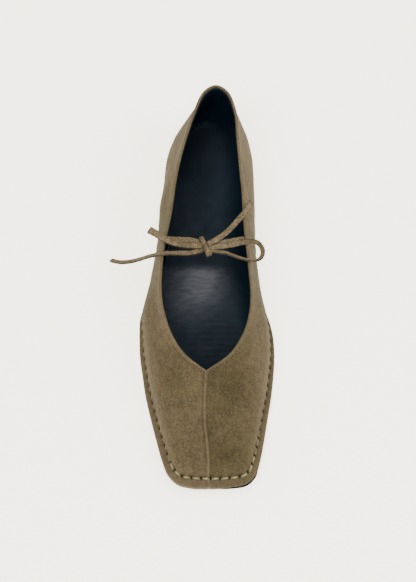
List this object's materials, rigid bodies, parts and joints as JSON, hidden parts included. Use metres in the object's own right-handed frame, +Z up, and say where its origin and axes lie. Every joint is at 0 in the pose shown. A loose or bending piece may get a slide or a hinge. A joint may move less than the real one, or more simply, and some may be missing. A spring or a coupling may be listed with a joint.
{
  "type": "ballet flat",
  "caption": "Flat slip-on shoe with a V throat, a turned-out stitched edge round a square toe, a low heel and a narrow tie across the instep.",
  "frame": {"origin": "on the floor under the middle of the heel, on the heel's flat underside", "axes": "+Z up; the toe points to -Y and the heel to +Y; +X is the big-toe side of this right shoe"},
  "size_m": [0.1032, 0.2502, 0.0623],
  "materials": {
    "upper_suede": "olive-brown suede, napped and matte",
    "tie_suede": "olive-brown suede strip, matte",
    "insole_leather": "dark navy smooth leather, soft gloss",
    "sole_rubber": "black, matte"
  },
  "bodies": {
    "root": {"outsole": "sole_rubber", "insole": "insole_leather", "upper": "upper_suede", "tie_strap_left": "tie_suede", "tie_strap_right": "tie_suede", "knot": "tie_suede", "loop_left": "tie_suede", "loop_right": "tie_suede", "end_left": "tie_suede", "end_right": "tie_suede"}
  },
  "joints": []
}
